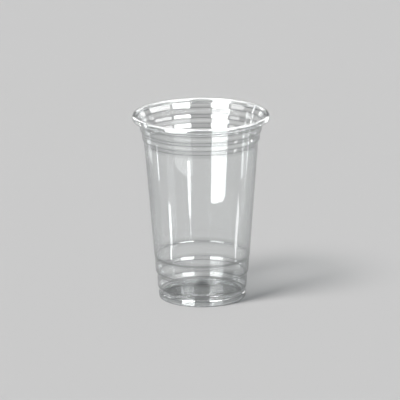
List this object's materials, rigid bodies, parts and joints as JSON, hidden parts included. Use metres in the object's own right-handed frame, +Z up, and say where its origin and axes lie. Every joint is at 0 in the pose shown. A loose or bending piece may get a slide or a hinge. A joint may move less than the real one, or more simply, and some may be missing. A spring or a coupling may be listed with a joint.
{
  "type": "plastic drinking cup",
  "caption": "Clear disposable drinking cup of thin formed plastic, with a pushed-up footed base, stacking shoulders, a tapering wall with gripping rings, and a rolled rim for a lid.",
  "frame": {"origin": "centre of the foot, on the table that the cup stands on", "axes": "+Z up the middle of the cup, from the base to the mouth; X and Y are any two directions across it, since the cup is round"},
  "size_m": [0.098, 0.098, 0.135],
  "materials": {
    "clear_plastic": "clear, glossy, with faint forming marks"
  },
  "bodies": {
    "root": {"cup": "clear_plastic"}
  },
  "joints": []
}
